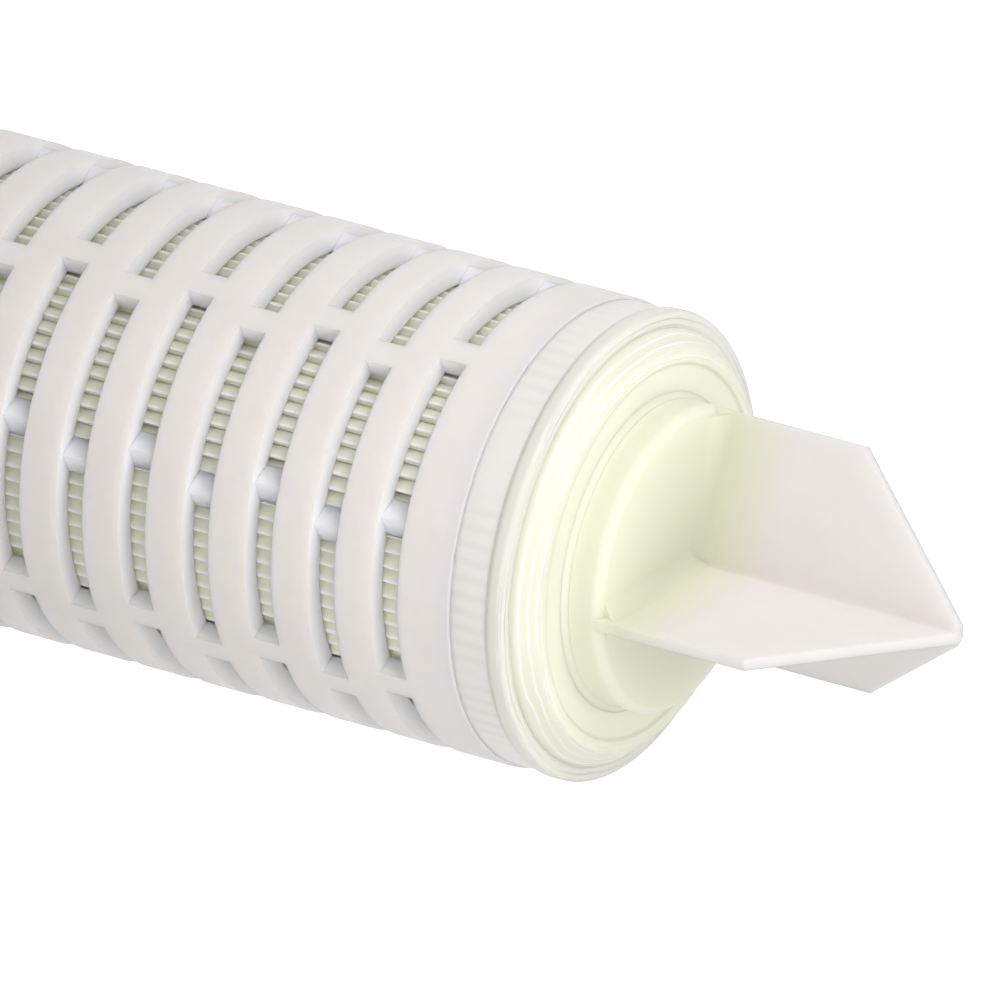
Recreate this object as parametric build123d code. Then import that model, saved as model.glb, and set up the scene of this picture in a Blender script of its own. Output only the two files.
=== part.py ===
# Membrane filter cartridge: a pleated membrane pack in a slotted cage, closed at the fin end
# and open at a bayonet plug with two O-rings. It stands upright on the plug.
# Origin: centre of the plug's bottom face. +Z runs up the axis to the tip of the fin.
# Millimetres. Liquid flows in through the cage and out through the core and the plug.
from build123d import *
import math
import os

# Cage: a moulded tube with staggered rows of slots
cage_outer_d = 69.5
cage_wall = 3.2
slot_rows = 9
slot_width = 4.45
ring_width = 6.25
end_band = 8.7
cage_end_round = 0.3
bridges_per_row = 4
bridge_width = 3.9
parting_bar_depth = 0.7
cage_turn = 6.3
row_stagger = 6.0

# Pleated pack: three webs folded together
pleat_count = 86
upstream_web = 0.20
membrane_web = 0.15
downstream_web = 0.20
pack_clearance = 0.30

# Core: a perforated tube
core_outer_d = 33.4
core_wall = 2.2
core_clearance = 0.30
core_rows = 7
core_slots_per_row = 4
core_slot_height = 8.0
core_slot_width = 9.0
core_end_band = 9.0

# End caps: a skirt butted to the cage, a rim, a weld slope and a face with a low lip.
# The rim stands out past the cage, the skirt lies inside its surface.
skirt_length = 8.1
skirt_inset = 0.45
rim_overhang = 0.05
rim_round = 0.7
rim_thickness = 2.2
cap_rise = 4.0
rim_step_width = 2.6
slope_foot_rise = 1.2
slope_width = 2.5
lip_width = 2.1
lip_rise = 0.25
lip_bevel = 0.3
cap_floor_depth = 2.7
core_seat_depth = 1.5
core_seat_gap = 0.10

# Fin: a domed boss with three blades that taper to a blunt tip
boss_d = 45.5
boss_edge_rise = 9.8
boss_edge_round = 1.6
dome_rise = 2.4
blade_count = 3
blade_setback = 0.1
blade_thickness = 1.8
blade_corner_rise = 34.05
fin_tip_rise = 55.9
fin_tip_reach = 1.5
blade_root_round = 1.2
blade_foot_blend = 3.0
blade_foot_bite = 0.02

# Plug: O-ring lands, grooves, locking lugs and bore
plug_d = 56.4
plug_length = 34.0
plug_nose_d = 52.4
plug_nose_length = 3.5
groove_d = 51.1
groove_width = 4.7
lower_groove_z = 8.2
groove_spacing = 7.6
lug_count = 2
lug_reach = 32.3
lug_width = 17.0
lug_thickness = 4.5
lug_z = 22.0
lug_bevel = 1.0
lug_root_depth = 1.0
plug_bore_d = 43.0
bore_mouth_bevel = 0.8
bore_depth = 25.0
funnel_length = 7.0

# Stiffening ring, held in a recess of the plug's bore
ring_wall = 1.1
ring_z = 2.2
ring_length = 17.0

# O-rings
o_ring_section_d = 3.53
o_ring_gap = 0.02

# How far a cutting shape reaches past the surface it opens
cut_margin = 1.0

# Radii
cage_outer_r = cage_outer_d / 2
cage_inner_r = cage_outer_r - cage_wall
skirt_r = cage_outer_r - skirt_inset
rim_r = cage_outer_r + rim_overhang
slope_foot_r = rim_r - rim_step_width
slope_top_r = slope_foot_r - slope_width
lip_inner_r = slope_top_r - lip_width
core_outer_r = core_outer_d / 2
core_inner_r = core_outer_r - core_wall
plug_bore_r = plug_bore_d / 2
ring_outer_r = plug_bore_r + ring_wall

# Levels along the axis, from the plug's bottom face up
cage_length = 2 * end_band + slot_rows * slot_width + (slot_rows - 1) * ring_width
open_rim_z = plug_length + cap_rise
cage_low_z = open_rim_z + skirt_length
cage_high_z = cage_low_z + cage_length
closed_rim_z = cage_high_z + skirt_length
cap_face_rise = cap_rise - lip_rise
pack_low_z = open_rim_z + cap_floor_depth
pack_high_z = closed_rim_z - cap_floor_depth
core_low_z = pack_low_z - core_seat_depth
core_high_z = pack_high_z + core_seat_depth

# Folded pack: its thickness, and the radii of the tips and roots of its outermost surface
fold_tip_r = cage_inner_r - pack_clearance
web_stack = upstream_web + membrane_web + downstream_web
fold_root_r = core_outer_r + core_clearance + web_stack


def tube(outer_r, inner_r, low, high):
    """A plain tube round the axis."""
    ring = Circle(outer_r) - Circle(inner_r)
    return Pos(0, 0, low) * extrude(ring, amount=high - low)


def turned(points):
    """A body of revolution from a closed half section of (radius, height) points."""
    outline = Polyline([(r, 0, z) for r, z in points], close=True)
    return revolve(make_face(outline), axis=Axis.Z)


def slot_cutter(slides):
    """The space that one row of slots leaves open.

    The cage is moulded with slides that draw along the bridges. Half way between two
    bridges the slides meet over the corner of a square, which stays as a bevelled bar.
    """
    square_side = 2 * (cage_outer_r - parting_bar_depth) * math.cos(math.pi / slides)
    reach_r = cage_outer_r + cut_margin
    row = Circle(reach_r) - Rectangle(square_side, square_side)
    for slide in range(slides // 2):
        bridge = Rectangle(2 * reach_r, bridge_width)
        row -= Rot(0, 0, slide * 360 / slides) * bridge
    return extrude(row, amount=slot_width)


def outer_cage():
    """The slotted sleeve, with rounded ends."""
    outer = extrude(Circle(cage_outer_r), amount=cage_length)
    outer = fillet(outer.edges(), radius=cage_end_round)
    row = slot_cutter(bridges_per_row)
    half_pitch = 180 / bridges_per_row
    cutters = []
    for index in range(slot_rows):
        from_top = slot_rows - 1 - index
        turn = half_pitch + cage_turn + row_stagger * (from_top % 2)
        level = end_band + index * (slot_width + ring_width)
        cutters.append(Pos(0, 0, level) * Rot(0, 0, turn) * row)
    body = outer - cutters
    core = Cylinder(cage_inner_r, cage_length, align=(Align.CENTER, Align.CENTER, Align.MIN))
    return Pos(0, 0, cage_low_z) * (body - core)


def fold_line(depth):
    """Closed zigzag of the pack at a given depth under its outermost surface.

    Each pleat stands on the core with parallel flanks. Going deeper into the stack, the
    fold at the tip gets narrower and the fold at the root gets wider by the same amount.
    """
    tip_r = fold_tip_r - depth
    root_r = fold_root_r - depth
    tip_half = (web_stack - depth) / tip_r
    root_half = depth / root_r
    pitch = 2 * math.pi / pleat_count
    points = []
    for pleat in range(pleat_count):
        centre = pleat * pitch
        for radius, middle, half in ((tip_r, centre, tip_half),
                                     (root_r, centre + pitch / 2, root_half)):
            angles = [middle] if half * radius < 0.001 else [middle - half, middle + half]
            points += [(radius * math.cos(a), radius * math.sin(a)) for a in angles]
    return Wire.make_polygon([Vector(x, y, 0) for x, y in points], close=True)


def pleated_web(outer_depth, inner_depth):
    """One web of the pack, between two depths of the stack."""
    section = Face(fold_line(outer_depth), [fold_line(inner_depth)])
    return Pos(0, 0, pack_low_z) * extrude(section, amount=pack_high_z - pack_low_z, dir=(0, 0, 1))


def inner_core():
    """The tube that the pack stands on, with rows of drain slots."""
    body = tube(core_outer_r, core_inner_r, core_low_z, core_high_z)
    first = core_low_z + core_end_band + core_slot_height / 2
    last = core_high_z - core_end_band - core_slot_height / 2
    slot = Box(2 * (core_outer_r + cut_margin), core_slot_width, core_slot_height)
    cutters = []
    for row in range(core_rows):
        level = first + (last - first) * row / (core_rows - 1)
        for pair in range(core_slots_per_row // 2):
            turn = 360 * pair / core_slots_per_row + 180 / core_slots_per_row * (row % 2)
            cutters.append(Pos(0, 0, level) * Rot(0, 0, turn) * slot)
    return body - cutters


def end_cap(outlet_r):
    """An end cap, face up, with its widest circle at height 0."""
    rim_top = slope_foot_rise / 2
    with BuildPart() as cap:
        with BuildSketch(Plane.XZ):
            with BuildLine():
                Polyline(
                    (slope_foot_r, rim_top),
                    (slope_foot_r, slope_foot_rise),
                    (slope_top_r, cap_rise),
                    (lip_inner_r + lip_bevel, cap_rise),
                    (lip_inner_r, cap_face_rise),
                    (outlet_r, cap_face_rise),
                    (outlet_r, core_seat_depth - cap_floor_depth),
                    (core_outer_r + core_seat_gap, core_seat_depth - cap_floor_depth),
                    (core_outer_r + core_seat_gap, -cap_floor_depth),
                    (cage_inner_r, -cap_floor_depth),
                    (cage_inner_r, -skirt_length),
                    (skirt_r, -skirt_length),
                    (skirt_r, -rim_thickness),
                    (rim_r, rim_round - rim_thickness),
                    (rim_r, rim_top - rim_round),
                )
                RadiusArc((rim_r, rim_top - rim_round), (rim_r - rim_round, rim_top), -rim_round)
                Line((rim_r - rim_round, rim_top), (slope_foot_r, rim_top))
            make_face()
        revolve(axis=Axis.Z)
    return cap.part


def foot_blend(dome_r, dome_z, shoulder, reach):
    """The soft foot of one blade along +X, where its two sides run out on the dome.

    A ball that rolls between a flat side and a spherical dome turns about the line through
    the dome's centre that is square to the blade, so the blend is turned about that line.
    The ball bites into both a little, so that the surfaces cross where they meet.
    """
    side = blade_thickness / 2 - blade_foot_bite
    ball_y = side + blade_foot_blend
    ball_r = dome_r + blade_foot_blend - blade_foot_bite
    ball_h = math.sqrt(ball_r ** 2 - ball_y ** 2)
    on_dome = 1 - blade_foot_blend / ball_r
    low_h = dome_r - boss_edge_rise / 2
    turn = math.degrees(math.asin(reach / dome_r))
    with BuildPart() as blend:
        with BuildSketch(Plane.YZ):
            with BuildLine():
                start = (side, ball_h)
                end = (ball_y * on_dome, ball_h * on_dome)
                RadiusArc(start, end, -blade_foot_blend)
                Polyline(end, (ball_y * on_dome, low_h), (0, low_h), (0, ball_h), start)
            make_face()
            mirror(about=Plane.YZ)
        revolve(axis=Axis.Y, revolution_arc=turn)
    outer = turned([
        (0, 0),
        (shoulder, 0),
        (shoulder, boss_edge_rise),
        (reach, boss_edge_rise + blade_foot_blend),
        (0, boss_edge_rise + 2 * blade_foot_blend),
    ])
    return Pos(0, 0, dome_z - dome_r) * blend.part & outer


def locating_fin():
    """The domed boss and its blades, on the closed cap's face."""
    boss_r = boss_d / 2
    round_z = boss_edge_rise - boss_edge_round
    dome_z = boss_edge_rise + dome_rise
    shoulder = boss_r - boss_edge_round
    dome_r = (shoulder ** 2 + dome_rise ** 2) / (2 * dome_rise)
    with BuildPart() as boss:
        with BuildSketch(Plane.XZ):
            with BuildLine():
                Line((0, cap_face_rise), (boss_r, cap_face_rise))
                Line((boss_r, cap_face_rise), (boss_r, round_z))
                RadiusArc((boss_r, round_z), (shoulder, boss_edge_rise), -boss_edge_round)
                RadiusArc((shoulder, boss_edge_rise), (0, dome_z), -dome_r)
                Line((0, dome_z), (0, cap_face_rise))
            make_face()
        revolve(axis=Axis.Z)
    reach = boss_r - blade_setback
    foot_z = boss_edge_rise / 2
    outline = Polyline(
        (0, foot_z),
        (reach, foot_z),
        (reach, blade_corner_rise),
        (fin_tip_reach, fin_tip_rise),
        (0, fin_tip_rise),
        close=True,
    )
    blade = extrude(Plane.XZ * make_face(outline), amount=blade_thickness / 2, both=True)
    turns = [Rot(0, 0, 180 + k * 360 / blade_count) for k in range(blade_count)]
    blades = Part() + [turn * blade for turn in turns]
    upright = blades.edges().filter_by(Axis.Z)
    roots = [edge for edge in upright if math.hypot(edge.center().X, edge.center().Y) < reach / 2]
    blend = foot_blend(dome_r, dome_z, shoulder, reach)
    fin = boss.part + fillet(roots, radius=blade_root_round) + [turn * blend for turn in turns]
    return Pos(0, 0, closed_rim_z) * fin


def bayonet_plug():
    """The outlet plug: nose, O-ring lands, neck, lugs, bore and funnel."""
    plug_r = plug_d / 2
    top = plug_length + lip_rise
    points = [
        (plug_bore_r + bore_mouth_bevel, 0),
        (plug_nose_d / 2, 0),
        (plug_r, plug_nose_length),
    ]
    for groove in range(2):
        middle = lower_groove_z + groove * groove_spacing
        points += [
            (plug_r, middle - groove_width / 2),
            (groove_d / 2, middle - groove_width / 2),
            (groove_d / 2, middle + groove_width / 2),
            (plug_r, middle + groove_width / 2),
        ]
    points += [
        (plug_r, top - lug_bevel),
        (plug_r - lug_bevel, top),
        (core_inner_r, top),
        (core_inner_r, bore_depth + funnel_length),
        (plug_bore_r, bore_depth),
        (plug_bore_r, ring_z + ring_length),
        (ring_outer_r, ring_z + ring_length),
        (ring_outer_r, ring_z),
        (plug_bore_r, ring_z),
        (plug_bore_r, bore_mouth_bevel),
    ]
    body = turned(points)
    flange = Cylinder(lug_reach, lug_thickness, align=(Align.CENTER, Align.CENTER, Align.MIN))
    flange = chamfer(flange.edges().group_by(Axis.Z)[0], length=lug_bevel)
    flange = Pos(0, 0, lug_z) * flange - Cylinder(plug_r - lug_root_depth, 2 * plug_length)
    half_way = (Align.MIN, Align.CENTER, Align.CENTER)
    sector = Box(2 * lug_reach, lug_width, 2 * plug_length, align=half_way)
    for lug in range(lug_count):
        body += flange & (Rot(0, 0, lug * 360 / lug_count) * sector)
    return body


def o_ring(level):
    """A seal in its groove."""
    middle_r = groove_d / 2 + o_ring_gap + o_ring_section_d / 2
    return Pos(0, 0, level) * Torus(middle_r, o_ring_section_d / 2)


parts = {
    "outer_cage": outer_cage(),
    "upstream_support": pleated_web(0, upstream_web),
    "filter_membrane": pleated_web(upstream_web, upstream_web + membrane_web),
    "downstream_support": pleated_web(upstream_web + membrane_web, web_stack),
    "inner_core": inner_core(),
    "closed_end_cap": Pos(0, 0, closed_rim_z) * end_cap(0),
    "open_end_cap": Pos(0, 0, open_rim_z) * Rot(180, 0, 0) * end_cap(core_inner_r),
    "locating_fin": locating_fin(),
    "bayonet_plug": bayonet_plug(),
    "stiffening_ring": tube(ring_outer_r, plug_bore_r, ring_z, ring_z + ring_length),
    "plug_o_ring_lower": o_ring(lower_groove_z),
    "plug_o_ring_upper": o_ring(lower_groove_z + groove_spacing),
}

os.makedirs("parts", exist_ok=True)
for name, shape in parts.items():
    export_step(shape, f"parts/{name}.step")
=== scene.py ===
import math
import bpy
from mathutils import Matrix, Vector


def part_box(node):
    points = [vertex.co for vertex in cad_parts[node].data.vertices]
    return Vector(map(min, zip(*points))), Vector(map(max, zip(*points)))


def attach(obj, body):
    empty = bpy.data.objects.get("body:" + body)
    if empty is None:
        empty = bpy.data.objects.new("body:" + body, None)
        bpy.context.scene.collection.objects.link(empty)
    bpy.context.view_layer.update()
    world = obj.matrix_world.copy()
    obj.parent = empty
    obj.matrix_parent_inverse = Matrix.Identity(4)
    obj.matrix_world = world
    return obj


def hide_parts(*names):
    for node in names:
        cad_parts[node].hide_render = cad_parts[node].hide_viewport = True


# Membrane filter cartridge. Metres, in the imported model's frame: the cartridge stands on
# its plug, +Z runs up the axis to the tip of the fin.
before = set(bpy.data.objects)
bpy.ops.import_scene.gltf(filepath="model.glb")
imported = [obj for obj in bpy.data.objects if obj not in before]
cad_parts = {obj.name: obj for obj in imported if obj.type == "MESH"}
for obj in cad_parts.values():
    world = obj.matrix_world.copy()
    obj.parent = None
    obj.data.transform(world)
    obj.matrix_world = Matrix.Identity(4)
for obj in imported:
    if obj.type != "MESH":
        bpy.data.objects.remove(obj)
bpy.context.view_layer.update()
MM = 0.001

# Levels and radii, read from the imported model
cage_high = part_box("outer_cage")[1]
pack_low, pack_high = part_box("upstream_support")
core_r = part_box("inner_core")[1].x
cap_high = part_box("closed_end_cap")[1]
fin_low, fin_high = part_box("locating_fin")
cage_r = cage_high.x
boss_r = fin_high.x
skirt_z = cage_high.z
cap_rise = 4.0 * MM
rim_level = cap_high.z - cap_rise

# Weld at the foot of the boss: its size, and how far it lies inside boss and cap
weld_size = 0.9 * MM
weld_sink = 0.05 * MM
weld_steps = 8
weld_sides = 160
face_z = fin_low.z

# Pleated webs: how they fold, the way they lean, and how far a fold strays from its place
pleat_count = 86
web_layers = (("upstream_support", 0.0, 0.20), ("filter_membrane", 0.20, 0.35),
              ("downstream_support", 0.35, 0.55))
web_stack = 0.55 * MM
core_gap = 0.30 * MM
fold_tip_r = pack_high.x
fold_root_r = core_r + core_gap + web_stack
crest_bend = 0.14 * MM
inner_pinch = 0.9
valley_depth = 1.3 * MM
lean_gap = 0.03 * MM
crest_lean = 0.70 * MM
crest_stray = 0.12 * MM
crest_dip = 0.06 * MM
crest_steps = 6
root_steps = 4
web_levels = 9

# Uneven folds: how fast each wave runs from pleat to pleat, and along the axis
swing_per_pleat = (2.399, 0.731)
swing_along = 5.0
dip_per_pleat = 1.713
dip_along = 3.1

# Camera: azimuth and height of the photograph's view, and where it shows the cap's centre
view_azimuth = math.radians(-92.3)
view_elevation = math.radians(28.9)
roll_cosine = 0.9655
roll_sine = 0.2604
rim_pixel = (626.0, 545.65)
pixels_per_metre = 6986.0
lens_mm = 1500.0
sensor_mm = 36.0
image_pixels = 1000.0

# Lamps: name, azimuth and elevation in degrees, distance and size in metres, power in watts
lamps = (
    ("main_light", -140, 30, 0.36, 0.25, 0.78),
    ("front_light", -95, 30, 0.36, 0.25, 0.09),
    ("low_light", -42, 20, 0.25, 0.15, 0.20),
    ("back_light", 100, 50, 0.36, 0.25, 0.18),
    ("top_light", -10, 68, 0.36, 0.25, 0.22),
)
world_strength = 0.50
floor_lift = 0.63


def shade_smooth(obj, angle=35.0):
    """Smooth shading that keeps the sharp edges."""
    obj.data.shade_smooth()
    obj.data.set_sharp_from_angle(angle=math.radians(angle))


class Graph:
    """A material's node tree, built by short calls."""

    def __init__(self, name):
        self.material = bpy.data.materials.new(name)
        self.material.use_nodes = True
        self.nodes = self.material.node_tree.nodes
        self.links = self.material.node_tree.links
        self.shader = self.nodes["Principled BSDF"]
        self.place = self.node("ShaderNodeTexCoord").outputs["Object"]

    def feed(self, socket, value):
        """A socket takes a constant or another node's output."""
        if isinstance(value, bpy.types.NodeSocket):
            self.links.new(value, socket)
        else:
            socket.default_value = value

    def node(self, kind, inputs=None, **settings):
        """One node, with its settings and what it is fed."""
        made = self.nodes.new(kind)
        for key, value in settings.items():
            setattr(made, key, value)
        for key, value in (inputs or {}).items():
            self.feed(made.inputs[key], value)
        return made

    def maths(self, operation, a, b=0.0):
        made = self.node("ShaderNodeMath", {0: a, 1: b}, operation=operation)
        return made.outputs[0]

    def blend(self, a, share_a, b, share_b):
        """The weighted sum of two values."""
        return self.maths("ADD", self.maths("MULTIPLY", a, share_a), self.maths("MULTIPLY", b, share_b))

    def noise(self, size, detail=3.0, roughness=0.5, place=None, distortion=0.0):
        """Noise whose features are about size metres across."""
        made = self.node("ShaderNodeTexNoise", {
            "Vector": self.place if place is None else place,
            "Scale": 1.0 / size,
            "Detail": detail,
            "Roughness": roughness,
            "Distortion": distortion,
        })
        return made.outputs["Fac"]

    def ramp(self, value, low, high, out_low=0.0, out_high=1.0, smooth=True):
        """The value between two limits, as a share between two others."""
        made = self.node("ShaderNodeMapRange", {
            "Value": value,
            "From Min": low,
            "From Max": high,
            "To Min": out_low,
            "To Max": out_high,
        }, interpolation_type="SMOOTHSTEP" if smooth else "LINEAR")
        return made.outputs["Result"]

    def mix(self, share, a, b):
        """A colour between a and b."""
        made = self.node("ShaderNodeMix", {0: share, 6: a, 7: b}, data_type="RGBA")
        return made.outputs[2]

    def axial(self):
        """(radius, height, angle as a share of a turn) of the point on the surface."""
        split = self.node("ShaderNodeSeparateXYZ", {0: self.place})
        x, y, z = split.outputs
        flat = self.node("ShaderNodeCombineXYZ", {0: x, 1: y})
        radius = self.node("ShaderNodeVectorMath", {0: flat.outputs[0]}, operation="LENGTH")
        turn = self.maths("DIVIDE", self.maths("ARCTAN2", y, x), 2 * math.pi)
        return radius.outputs["Value"], z, turn

    def turned(self):
        """A place that only radius and height change, for marks that run round the axis."""
        radius, height, _ = self.axial()
        return self.node("ShaderNodeCombineXYZ", {0: radius, 1: height}).outputs[0]

    def bump(self, height, distance, strength=1.0, normal=None):
        """A bump whose full height is distance metres."""
        inputs = {"Height": height, "Distance": distance, "Strength": strength}
        if normal is not None:
            inputs["Normal"] = normal
        return self.node("ShaderNodeBump", inputs).outputs["Normal"]

    def soft_edge(self, radius):
        """Normals that round the sharp edges by a radius in metres."""
        return self.node("ShaderNodeBevel", {"Radius": radius}, samples=2).outputs["Normal"]


def colour(red, green, blue):
    return (red, green, blue, 1.0)


def moulded(graph, tint, shade, roughness, edge, grain, scatter):
    """Moulded plastic: faint flow marks, a fine satin grain and soft edges."""
    flow = graph.noise(18 * MM, 3.0, 0.55, distortion=0.6)
    cloud = graph.noise(3 * MM, 2.0, 0.5)
    patch = graph.blend(flow, 0.7, cloud, 0.3)
    base = graph.mix(graph.ramp(patch, 0.35, 0.65), shade, tint)
    graph.feed(graph.shader.inputs["Base Color"], base)
    rough = graph.ramp(graph.noise(5 * MM, 4.0, 0.6), 0.3, 0.7, roughness - 0.06, roughness + 0.06)
    graph.feed(graph.shader.inputs["Roughness"], rough)
    normal = graph.soft_edge(edge)
    normal = graph.bump(graph.noise(0.35 * MM, 4.0, 0.6), grain, 1.0, normal)
    normal = graph.bump(graph.noise(9 * MM, 2.0, 0.5), 12 * grain, 1.0, normal)
    graph.feed(graph.shader.inputs["Normal"], normal)
    graph.shader.inputs["IOR"].default_value = 1.49
    graph.shader.inputs["Subsurface Weight"].default_value = scatter
    graph.shader.inputs["Subsurface Radius"].default_value = (1.0, 0.95, 0.75)
    graph.shader.inputs["Subsurface Scale"].default_value = 4.0 * MM
    graph.shader.inputs["Specular IOR Level"].default_value = 0.1
    return base, normal


def cage_material():
    """White plastic that lets light through, with painted light on its slot walls, whitest on the end
    walls, so its slots are nearly as pale as its rings.
    """
    graph = Graph("cage_plastic")
    base, _ = moulded(graph, tint=colour(0.89, 0.84, 0.805), shade=colour(0.875, 0.82, 0.785),
                      roughness=0.42, edge=0.22 * MM, grain=0.012 * MM, scatter=0.9)
    radius, _, _ = graph.axial()
    # Painted light: the walls inside the slots get paler colours than the rings, the end walls near
    # white, in place of light that comes through the plastic and bounces in the slots.
    outside = graph.ramp(radius, cage_r - 0.8 * MM, cage_r - 0.1 * MM)
    normal = graph.node("ShaderNodeNewGeometry").outputs["Normal"]
    facing = graph.node("ShaderNodeSeparateXYZ", {0: normal})
    sideways = graph.ramp(graph.maths("ABSOLUTE", facing.outputs[2]), 0.2, 0.8)
    end_wall_painted_light, side_wall_painted_light = colour(0.97, 0.96, 0.96), colour(0.88, 0.87, 0.88)
    inside = graph.mix(sideways, end_wall_painted_light, side_wall_painted_light)
    graph.feed(graph.shader.inputs["Base Color"], graph.mix(outside, inside, base))
    return graph.material


def cap_material():
    """Natural plastic: weld ripples round the rim with painted highlights on their crests, painted shade
    on the slope, a paler rim and pleats behind the skirt.
    """
    graph = Graph("cap_plastic")
    base, normal = moulded(graph, tint=colour(0.84, 0.85, 0.70), shade=colour(0.82, 0.825, 0.675),
                           roughness=0.38, edge=0.8 * MM, grain=0.010 * MM, scatter=0.35)
    graph.shader.inputs["Specular IOR Level"].default_value = 0.5
    # The slope's colour is painted shade: darker than the face, because the slope faces the main lamp.
    slope, rim, skirt = colour(0.765, 0.775, 0.64), colour(0.75, 0.745, 0.69), colour(0.86, 0.83, 0.79)
    radius, height, turn = graph.axial()
    above = graph.maths("SUBTRACT", height, skirt_z)

    # Tints of the rim and of the skirt with the pleats that show through it, and painted shade on the
    # slope, which faces the main lamp
    on_skirt = graph.ramp(above, 5.4 * MM, 6.4 * MM, 1.0, 0.0)
    on_rim = graph.maths("MULTIPLY", graph.ramp(radius, 31.9 * MM, 32.6 * MM), 0.8)
    pleat = graph.maths("SINE", graph.maths("MULTIPLY", turn, 2 * math.pi * pleat_count))
    patch = graph.ramp(graph.noise(16 * MM, 1.0), 0.45, 0.65, 0.1, 1.0)
    faint = graph.maths("MULTIPLY", graph.ramp(pleat, -0.6, 1.0, 0.0, 0.16), patch)
    faint = graph.maths("MULTIPLY", faint, on_skirt)
    on_slope_painted_shade = graph.ramp(radius, 29.4 * MM, 30.6 * MM)
    tone = graph.mix(on_slope_painted_shade, base, slope)
    tone = graph.mix(on_rim, tone, rim)
    tone = graph.mix(on_skirt, tone, skirt)
    tone = graph.mix(faint, tone, colour(0.60, 0.58, 0.54))

    # Ripples that the welding left: thin crests at an even pitch, which sway and come and go
    ripple_pitch = 0.95 * MM
    sway = graph.maths("MULTIPLY", graph.noise(14 * MM, 2.0, 0.5), 1.6 * MM)
    stretch = graph.maths("ADD", radius, sway)
    ripple = graph.maths("SINE", graph.maths("MULTIPLY", stretch, 2 * math.pi / ripple_pitch))
    crest = graph.maths("POWER", graph.ramp(ripple, -1.0, 1.0, smooth=False), 5.0)
    outward = graph.ramp(radius, 27.6 * MM, 29.5 * MM)
    strong = graph.ramp(graph.noise(20 * MM, 1.0), 0.38, 0.60, 0.40, 1.0)
    height_map = graph.maths("MULTIPLY", graph.maths("MULTIPLY", crest, outward), strong)
    # Painted highlight: the upper ripple crests are painted near white, as if they caught the lamps.
    ripple_painted_highlight = graph.maths("MULTIPLY", height_map, graph.ramp(above, 9.0 * MM, 9.6 * MM, 0.0, 0.9))
    graph.feed(graph.shader.inputs["Base Color"], graph.mix(ripple_painted_highlight, tone, colour(0.98, 0.98, 0.95)))
    graph.feed(graph.shader.inputs["Normal"], graph.bump(height_map, 0.14 * MM, 1.0, normal))
    return graph.material


def fin_material():
    """Natural plastic, greenish where it is thick and clearer out on the blades; the darker root of the
    blades is partly painted shade of the corner where they meet the boss.
    """
    graph = Graph("fin_plastic")
    base, _ = moulded(graph, tint=colour(0.76, 0.72, 0.705), shade=colour(0.745, 0.705, 0.69),
                      roughness=0.36, edge=0.25 * MM, grain=0.008 * MM, scatter=0.9)
    _, height, _ = graph.axial()
    level = graph.maths("SUBTRACT", height, rim_level)
    # Darker olive toward the foot of the blades: partly the tone of thick plastic, partly painted shade
    # of the corner at the boss.
    thick = graph.ramp(level, 11 * MM, 26 * MM, 1.0, 0.0)
    root = graph.mix(graph.noise(12 * MM), colour(0.65, 0.655, 0.525), colour(0.63, 0.64, 0.505))
    on_boss = graph.ramp(level, 9.5 * MM, 13.0 * MM, 1.0, 0.0)
    root = graph.mix(on_boss, root, colour(0.775, 0.785, 0.635))
    graph.feed(graph.shader.inputs["Base Color"], graph.mix(thick, base, root))
    graph.feed(graph.shader.inputs["Subsurface Weight"], graph.ramp(level, 4.2 * MM, 9.0 * MM, 0.0, 0.9))
    graph.shader.inputs["Subsurface Scale"].default_value = 6.0 * MM
    return graph.material


def weld_material():
    """The weld's own plastic: it is too thin to scatter light, so it stays plain. Its tint is painted
    shade, darker than the boss, to offset the light that its hollow catches.
    """
    graph = Graph("weld_plastic")
    # Painted shade: the tint is set darker than the boss.
    moulded(graph, tint=colour(0.735, 0.745, 0.61), shade=colour(0.715, 0.725, 0.59),
            roughness=0.38, edge=0.3 * MM, grain=0.008 * MM, scatter=0.0)
    return graph.material


def web_material(name, tint, shade, valley_painted_shade, fibre):
    """A nonwoven web: matt, with fine crossed fibres, and painted shade, an olive tone, between the
    crests.
    """
    graph = Graph(name)
    split = graph.node("ShaderNodeMapping", {"Vector": graph.place, "Scale": (1.0, 1.0, 0.25)})
    along = graph.noise(0.25 * MM, 4.0, 0.65, split.outputs[0])
    across = graph.noise(0.9 * MM, 3.0, 0.6)
    both = graph.blend(along, 0.6, across, 0.4)
    crest = graph.mix(graph.ramp(both, 0.35, 0.65), shade, tint)
    radius, _, _ = graph.axial()
    # Painted shade: below the crests the web takes the darker olive valley colour, in place of shade and
    # light passed between the folds.
    exposed = graph.ramp(radius, fold_tip_r - 0.36 * MM, fold_tip_r - 0.16 * MM)
    graph.feed(graph.shader.inputs["Base Color"], graph.mix(exposed, valley_painted_shade, crest))
    graph.feed(graph.shader.inputs["Roughness"], graph.ramp(both, 0.3, 0.7, 0.75, 0.95))
    graph.feed(graph.shader.inputs["Normal"], graph.bump(both, fibre))
    graph.shader.inputs["Sheen Weight"].default_value = 0.15
    return graph.material


def core_material():
    """Plain white plastic, seen only down the bore."""
    graph = Graph("core_plastic")
    moulded(graph, tint=colour(0.87, 0.86, 0.82), shade=colour(0.85, 0.84, 0.80),
            roughness=0.45, edge=0.2 * MM, grain=0.012 * MM, scatter=0.3)
    return graph.material


def plug_material():
    """Machined after moulding: faint turning lines round the lands and grooves."""
    graph = Graph("plug_plastic")
    _, normal = moulded(graph, tint=colour(0.89, 0.88, 0.82), shade=colour(0.875, 0.865, 0.80),
                        roughness=0.36, edge=0.25 * MM, grain=0.010 * MM, scatter=0.45)
    lines = graph.noise(0.30 * MM, 2.0, 0.5, graph.turned())
    graph.feed(graph.shader.inputs["Normal"], graph.bump(lines, 0.012 * MM, 1.0, normal))
    return graph.material


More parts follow.
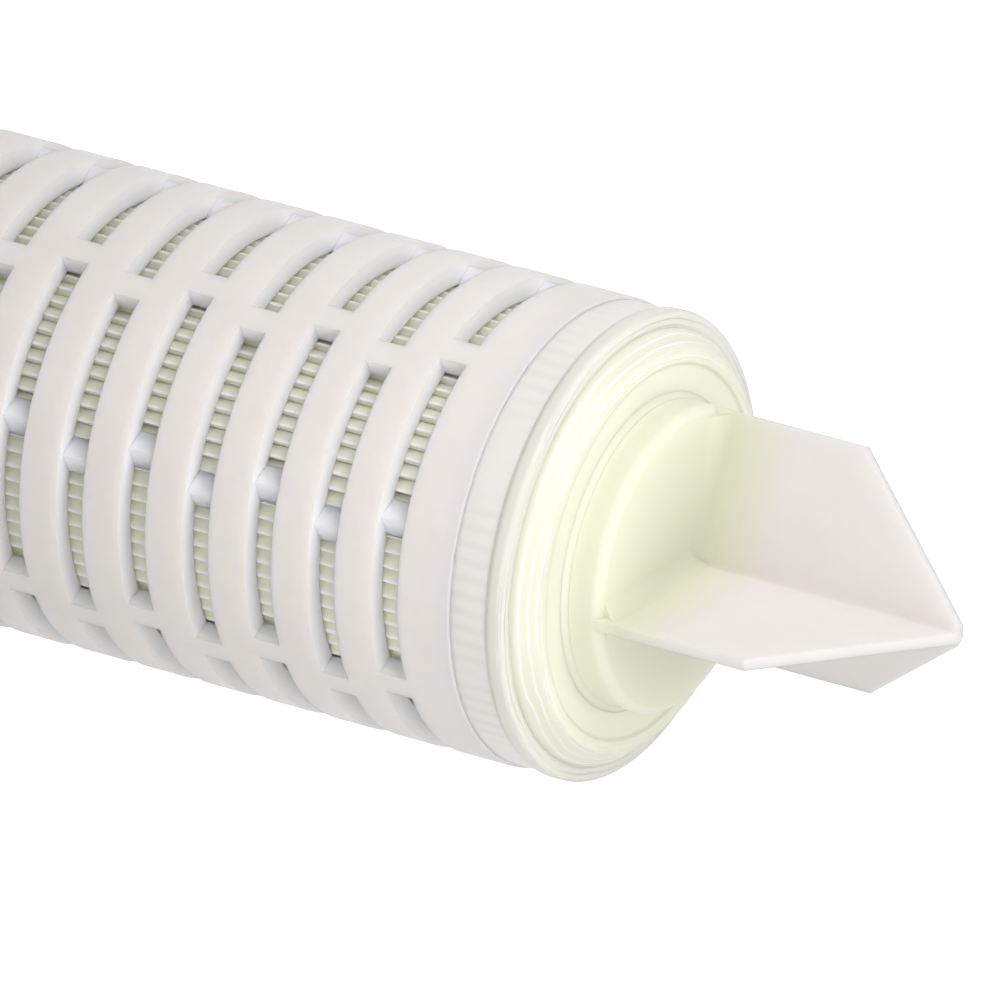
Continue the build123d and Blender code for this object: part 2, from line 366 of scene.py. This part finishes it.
def steel_material():
    """Stainless steel, brushed round the axis."""
    graph = Graph("ring_steel")
    brushed = graph.noise(0.15 * MM, 3.0, 0.6, graph.turned())
    tone = graph.mix(graph.ramp(brushed, 0.3, 0.7), colour(0.60, 0.60, 0.61), colour(0.70, 0.70, 0.71))
    graph.feed(graph.shader.inputs["Base Color"], tone)
    graph.feed(graph.shader.inputs["Roughness"], graph.ramp(brushed, 0.3, 0.7, 0.22, 0.36))
    normal = graph.bump(brushed, 0.006 * MM, 1.0, graph.soft_edge(0.15 * MM))
    graph.feed(graph.shader.inputs["Normal"], normal)
    graph.shader.inputs["Metallic"].default_value = 1.0
    return graph.material


def seal_material():
    """Translucent white silicone rubber, with a faint bloom."""
    graph = Graph("seal_rubber")
    bloom = graph.noise(2.5 * MM, 4.0, 0.6)
    tone = graph.mix(graph.ramp(bloom, 0.35, 0.65), colour(0.80, 0.79, 0.75), colour(0.84, 0.83, 0.79))
    graph.feed(graph.shader.inputs["Base Color"], tone)
    graph.feed(graph.shader.inputs["Roughness"], graph.ramp(bloom, 0.3, 0.7, 0.34, 0.48))
    graph.feed(graph.shader.inputs["Normal"], graph.bump(graph.noise(0.3 * MM, 3.0), 0.008 * MM))
    graph.shader.inputs["Subsurface Weight"].default_value = 0.6
    graph.shader.inputs["Subsurface Radius"].default_value = (1.0, 0.97, 0.9)
    graph.shader.inputs["Subsurface Scale"].default_value = 1.5 * MM
    return graph.material


def pleat_profile(depth):
    """Half a pleat at a depth in the stack, as (along the pleat, aside from it) points.

    The points run from the crest, which is pinched, down a slope to the shoulder, where the
    pleat leans on its neighbour, along the flank and round the fold at the root.
    """
    half_pitch = math.pi / pleat_count
    between = Vector((math.cos(half_pitch), math.sin(half_pitch)))
    inward = Vector((between.y, -between.x))
    crest = Vector((fold_tip_r - crest_bend, 0.0))
    bend = crest_bend * (1.0 - inner_pinch * depth / web_stack)
    shoulder = between * (fold_tip_r - valley_depth) + inward * (lean_gap + depth)
    way = shoulder - crest
    leave = math.atan2(way.y, way.x) - math.acos(bend / way.length)
    points = []
    for step in range(crest_steps + 1):
        angle = leave * step / crest_steps
        points.append(crest + bend * Vector((math.cos(angle), math.sin(angle))))
    points.append(points[-1].lerp(shoulder, 0.5))
    points.append(shoulder)
    root = between * fold_root_r
    reach = lean_gap + depth
    points.append(shoulder.lerp(root + inward * reach, 0.5))
    for step in range(root_steps + 1):
        angle = half_pitch - math.pi / 2 - math.pi / 2 * step / root_steps
        points.append(root + reach * Vector((math.cos(angle), math.sin(angle))))
    return points


def web_ring(depth, level):
    """The closed fold line of one layer at a level along the axis."""
    half = pleat_profile(depth)
    mirrored = [Vector((p.x, -p.y)) for p in reversed(half)]
    pitch = 2 * math.pi / pleat_count
    share = (level - pack_low.z) / (pack_high.z - pack_low.z)
    ring = []
    for pleat in range(pleat_count):
        wave = math.sin(pleat * swing_per_pleat[0])
        wave += math.sin(pleat * swing_per_pleat[1] + swing_along * share)
        swing = crest_lean + crest_stray * 0.5 * wave
        dip = crest_dip * 0.5 * (1 + math.sin(pleat * dip_per_pleat + dip_along * share))
        for point in mirrored[:-1] + half[:-1]:
            outer = (point.x - fold_tip_r + valley_depth) / valley_depth
            outer = min(max(outer, 0.0), 1.0)
            x = point.x - dip * outer
            y = point.y + swing * outer
            c, s = math.cos(pleat * pitch), math.sin(pleat * pitch)
            ring.append((x * c - y * s, x * s + y * c, level))
    return ring


def pleated_web(node, outer_depth, inner_depth, material):
    """One web of the pack with round folds, in the place of its plain solid."""
    low, high = pack_low.z, pack_high.z
    rings = []
    for depth, order in ((outer_depth, 1), (inner_depth, -1)):
        spread = [low + (high - low) * k / (web_levels - 1) for k in range(web_levels)]
        rings += [web_ring(depth * MM, level) for level in spread[::order]]
    count = len(rings[0])
    vertices = [point for ring in rings for point in ring]
    faces = []
    for k in range(len(rings)):
        a, b = k * count, (k + 1) % len(rings) * count
        for i in range(count):
            j = (i + 1) % count
            faces.append((a + i, a + j, b + j, b + i))
    mesh = bpy.data.meshes.new(node + "_web")
    mesh.from_pydata(vertices, [], faces)
    obj = bpy.data.objects.new(node + "_web", mesh)
    bpy.context.scene.collection.objects.link(obj)
    shade_smooth(obj)
    mesh.materials.append(material)
    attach(obj, "root")
    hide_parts(node)


def boss_weld(material):
    """The weld that runs round the foot of the boss, a small hollow fillet on the cap's face."""
    profile = []
    for step in range(weld_steps + 1):
        angle = math.pi / 2 * step / weld_steps
        out = boss_r + weld_size * (1 - math.sin(angle))
        profile.append((out, face_z + weld_size * (1 - math.cos(angle))))
    profile.append((boss_r - weld_sink, face_z + weld_size))
    profile.append((boss_r - weld_sink, face_z - weld_sink))
    profile.append((boss_r + weld_size, face_z - weld_sink))
    vertices, faces = [], []
    count = len(profile)
    for turn in range(weld_sides):
        angle = 2 * math.pi * turn / weld_sides
        vertices += [(r * math.cos(angle), r * math.sin(angle), z) for r, z in profile]
        for k in range(count):
            a, b = turn * count + k, turn * count + (k + 1) % count
            c, d = [((turn + 1) % weld_sides) * count + j for j in ((k + 1) % count, k)]
            faces.append((a, d, c, b))
    mesh = bpy.data.meshes.new("boss_weld")
    mesh.from_pydata(vertices, [], faces)
    obj = bpy.data.objects.new("boss_weld", mesh)
    bpy.context.scene.collection.objects.link(obj)
    shade_smooth(obj)
    mesh.materials.append(material)
    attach(obj, "root")


def dress(node, material):
    """A carried-over solid gets its material."""
    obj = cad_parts[node]
    obj.data.materials.clear()
    obj.data.materials.append(material)


def make_camera():
    """The photograph's view: nearly parallel, rolled so that the axis lies to the right."""
    toward = Vector((
        math.cos(view_azimuth) * math.cos(view_elevation),
        math.sin(view_azimuth) * math.cos(view_elevation),
        math.sin(view_elevation),
    ))
    up_axis = (Vector((0, 0, 1)) - toward.z * toward).normalized()
    aside = toward.cross(Vector((0, 0, 1))).normalized()
    right = roll_cosine * up_axis + roll_sine * aside
    up = roll_cosine * aside - roll_sine * up_axis
    data = bpy.data.cameras.new("camera")
    data.lens = lens_mm
    data.sensor_width = sensor_mm
    distance = image_pixels * lens_mm / sensor_mm / pixels_per_metre
    off_right = (rim_pixel[0] - image_pixels / 2) / pixels_per_metre
    off_up = (image_pixels / 2 - rim_pixel[1]) / pixels_per_metre
    place = Vector((0, 0, rim_level)) - right * off_right - up * off_up + toward * distance
    camera = bpy.data.objects.new("camera", data)
    bpy.context.scene.collection.objects.link(camera)
    turn = Matrix((right, up, toward)).transposed().to_4x4()
    camera.matrix_world = Matrix.Translation(place) @ turn
    data.clip_start = 0.1
    data.clip_end = 30.0
    bpy.context.scene.camera = camera


def soft_light(name, azimuth, elevation, distance, size, power):
    """A square softbox that faces the axis at the foot of the closed cap's skirt."""
    data = bpy.data.lights.new(name, "AREA")
    data.shape = "SQUARE"
    data.size = size
    data.energy = power
    lamp = bpy.data.objects.new(name, data)
    bpy.context.scene.collection.objects.link(lamp)
    a, e = math.radians(azimuth), math.radians(elevation)
    way = Vector((math.cos(a) * math.cos(e), math.sin(a) * math.cos(e), math.sin(e)))
    lamp.location = Vector((0, 0, skirt_z)) + way * distance
    lamp.rotation_mode = "QUATERNION"
    lamp.rotation_quaternion = way.to_track_quat("Z", "Y")


def seen_ray(nodes, links):
    """1 on rays that show the surroundings: seen by the camera, in a gloss or through glass."""
    path = nodes.new("ShaderNodeLightPath")
    total = path.outputs["Is Camera Ray"]
    for name in ("Is Glossy Ray", "Is Transmission Ray"):
        both = nodes.new("ShaderNodeMath")
        both.operation = "MAXIMUM"
        links.new(total, both.inputs[0])
        links.new(path.outputs[name], both.inputs[1])
        total = both.outputs[0]
    return total


def make_world(strength):
    """An even pale surround, white where it is seen."""
    world = bpy.data.worlds.new("surround")
    world.use_nodes = True
    bpy.context.scene.world = world
    nodes, links = world.node_tree.nodes, world.node_tree.links
    background = nodes["Background"]
    background.inputs["Color"].default_value = colour(1.0, 1.0, 1.0)
    level = nodes.new("ShaderNodeMapRange")
    level.inputs["To Min"].default_value = strength
    level.inputs["To Max"].default_value = 1.0
    links.new(seen_ray(nodes, links), level.inputs["Value"])
    links.new(level.outputs["Result"], background.inputs["Strength"])


def make_floor(lift):
    """A white floor that keeps the shadow, is lifted to white, and is open from below.

    It is paler where it is seen than where it only throws light back on the object.
    """
    material = bpy.data.materials.new("floor_white")
    material.use_nodes = True
    nodes, links = material.node_tree.nodes, material.node_tree.links
    shader = nodes["Principled BSDF"]
    seen = seen_ray(nodes, links)
    tone = nodes.new("ShaderNodeMix")
    tone.data_type = "RGBA"
    tone.inputs[6].default_value = colour(0.47, 0.47, 0.47)
    tone.inputs[7].default_value = colour(0.80, 0.80, 0.80)
    links.new(seen, tone.inputs[0])
    links.new(tone.outputs[2], shader.inputs["Base Color"])
    shader.inputs["Roughness"].default_value = 0.9
    shader.inputs["Specular IOR Level"].default_value = 0.0
    shader.inputs["Emission Color"].default_value = colour(1.0, 1.0, 1.0)
    level = nodes.new("ShaderNodeMath")
    level.operation = "MULTIPLY"
    level.inputs[1].default_value = lift
    links.new(seen, level.inputs[0])
    links.new(level.outputs[0], shader.inputs["Emission Strength"])
    side = nodes.new("ShaderNodeNewGeometry")
    clear = nodes.new("ShaderNodeBsdfTransparent")
    choose = nodes.new("ShaderNodeMixShader")
    links.new(side.outputs["Backfacing"], choose.inputs[0])
    links.new(shader.outputs[0], choose.inputs[1])
    links.new(clear.outputs[0], choose.inputs[2])
    links.new(choose.outputs[0], nodes["Material Output"].inputs["Surface"])
    mesh = bpy.data.meshes.new("floor")
    half = 8.0
    level_z = -0.2 * MM
    sides = ((-half, -half), (half, -half), (half, half), (-half, half))
    corners = [(x, y, level_z) for x, y in sides]
    mesh.from_pydata(corners, [], [(0, 1, 2, 3)])
    mesh.materials.append(material)
    floor = bpy.data.objects.new("floor", mesh)
    bpy.context.scene.collection.objects.link(floor)


def main():
    make_camera()
    make_world(world_strength)
    make_floor(floor_lift)
    for lamp in lamps:
        soft_light(*lamp)
    # The third colour of each web is the painted shade between its crests.
    support = web_material("support_web", colour(0.98, 0.97, 0.96), colour(0.96, 0.95, 0.93),
                           colour(0.88, 0.89, 0.75), 0.03 * MM)
    membrane = web_material("membrane", colour(0.92, 0.92, 0.91), colour(0.90, 0.90, 0.89),
                            colour(0.91, 0.91, 0.90), 0.01 * MM)
    for node, outer_depth, inner_depth in web_layers:
        material = membrane if node == "filter_membrane" else support
        pleated_web(node, outer_depth, inner_depth, material)
    cap = cap_material()
    seal = seal_material()
    dress("outer_cage", cage_material())
    dress("inner_core", core_material())
    dress("closed_end_cap", cap)
    dress("open_end_cap", cap)
    dress("locating_fin", fin_material())
    boss_weld(weld_material())
    dress("bayonet_plug", plug_material())
    dress("stiffening_ring", steel_material())
    dress("plug_o_ring_lower", seal)
    dress("plug_o_ring_upper", seal)
    bpy.context.scene.view_settings.view_transform = "Standard"


main()
